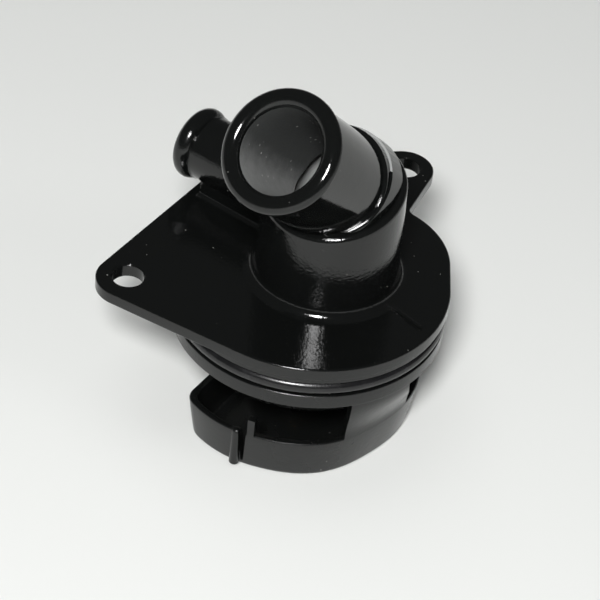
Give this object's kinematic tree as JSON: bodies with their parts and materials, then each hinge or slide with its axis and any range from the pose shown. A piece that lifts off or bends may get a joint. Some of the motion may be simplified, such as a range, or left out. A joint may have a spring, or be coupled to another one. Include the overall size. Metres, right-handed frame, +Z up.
{
  "type": "thermostat housing",
  "caption": "Moulded coolant thermostat housing with an angled hose outlet, a side nipple, a bolt-on cover plate, an O-ring and a cup-shaped lower body over a wax valve.",
  "frame": {"origin": "middle of the part's plan, at the flat underside of the cup", "axes": "+Z up along the lower body's axis, +X to the right and +Y away from the viewer of the picture"},
  "size_m": [0.0892, 0.0924, 0.1],
  "materials": {
    "housing_plastic": "glossy moulded black",
    "outlet_plastic": "glossy moulded black",
    "o_ring_rubber": "smooth black",
    "body_plastic": "glossy moulded black",
    "seal_rubber": "matt black",
    "flange_steel": "stamped",
    "bridge_steel": "stamped",
    "pin_steel": "ground",
    "frame_steel": "stamped",
    "spring_steel": "drawn wire",
    "disc_steel": "stamped",
    "capsule_brass": "turned",
    "guide_nylon": "moulded",
    "retainer_steel": "stamped",
    "bypass_steel": "stamped",
    "bypass_wire": "drawn wire",
    "clip_steel": "stamped",
    "jiggle_brass": "turned"
  },
  "bodies": {
    "housing": {"cover": "housing_plastic", "outlet_tube": "outlet_plastic", "o_ring": "o_ring_rubber", "lower_body": "body_plastic", "rim_seal": "seal_rubber", "valve_flange": "flange_steel", "upper_bridge": "bridge_steel", "piston_pin": "pin_steel", "lower_frame": "frame_steel", "main_spring": "spring_steel"},
    "main_valve": {"main_valve_disc": "disc_steel", "wax_capsule": "capsule_brass", "piston_guide": "guide_nylon", "valve_retainer": "retainer_steel", "bypass_clip": "clip_steel", "bypass_spring": "bypass_wire"},
    "bypass_valve": {"bypass_disc": "bypass_steel"},
    "vent_pin": {"jiggle_pin": "jiggle_brass"}
  },
  "joints": [
    {"name": "main_valve_slide", "type": "slide", "parent": "housing", "child": "main_valve", "axis": [0, 0, -1], "range_m": [0, 0.005], "stiffness_N_per_m": 2000, "springref_m": -0.002, "deforming": ["main_spring"]},
    {"name": "bypass_slide", "type": "slide", "parent": "main_valve", "child": "bypass_valve", "axis": [0, 0, 1], "range_m": [0, 0.0012], "stiffness_N_per_m": 500, "springref_m": -0.0006, "deforming": ["bypass_spring"]},
    {"name": "vent_pin_slide", "type": "slide", "parent": "housing", "child": "vent_pin", "axis": [0, 0, 1], "range_m": [0, 0.001]}
  ]
}
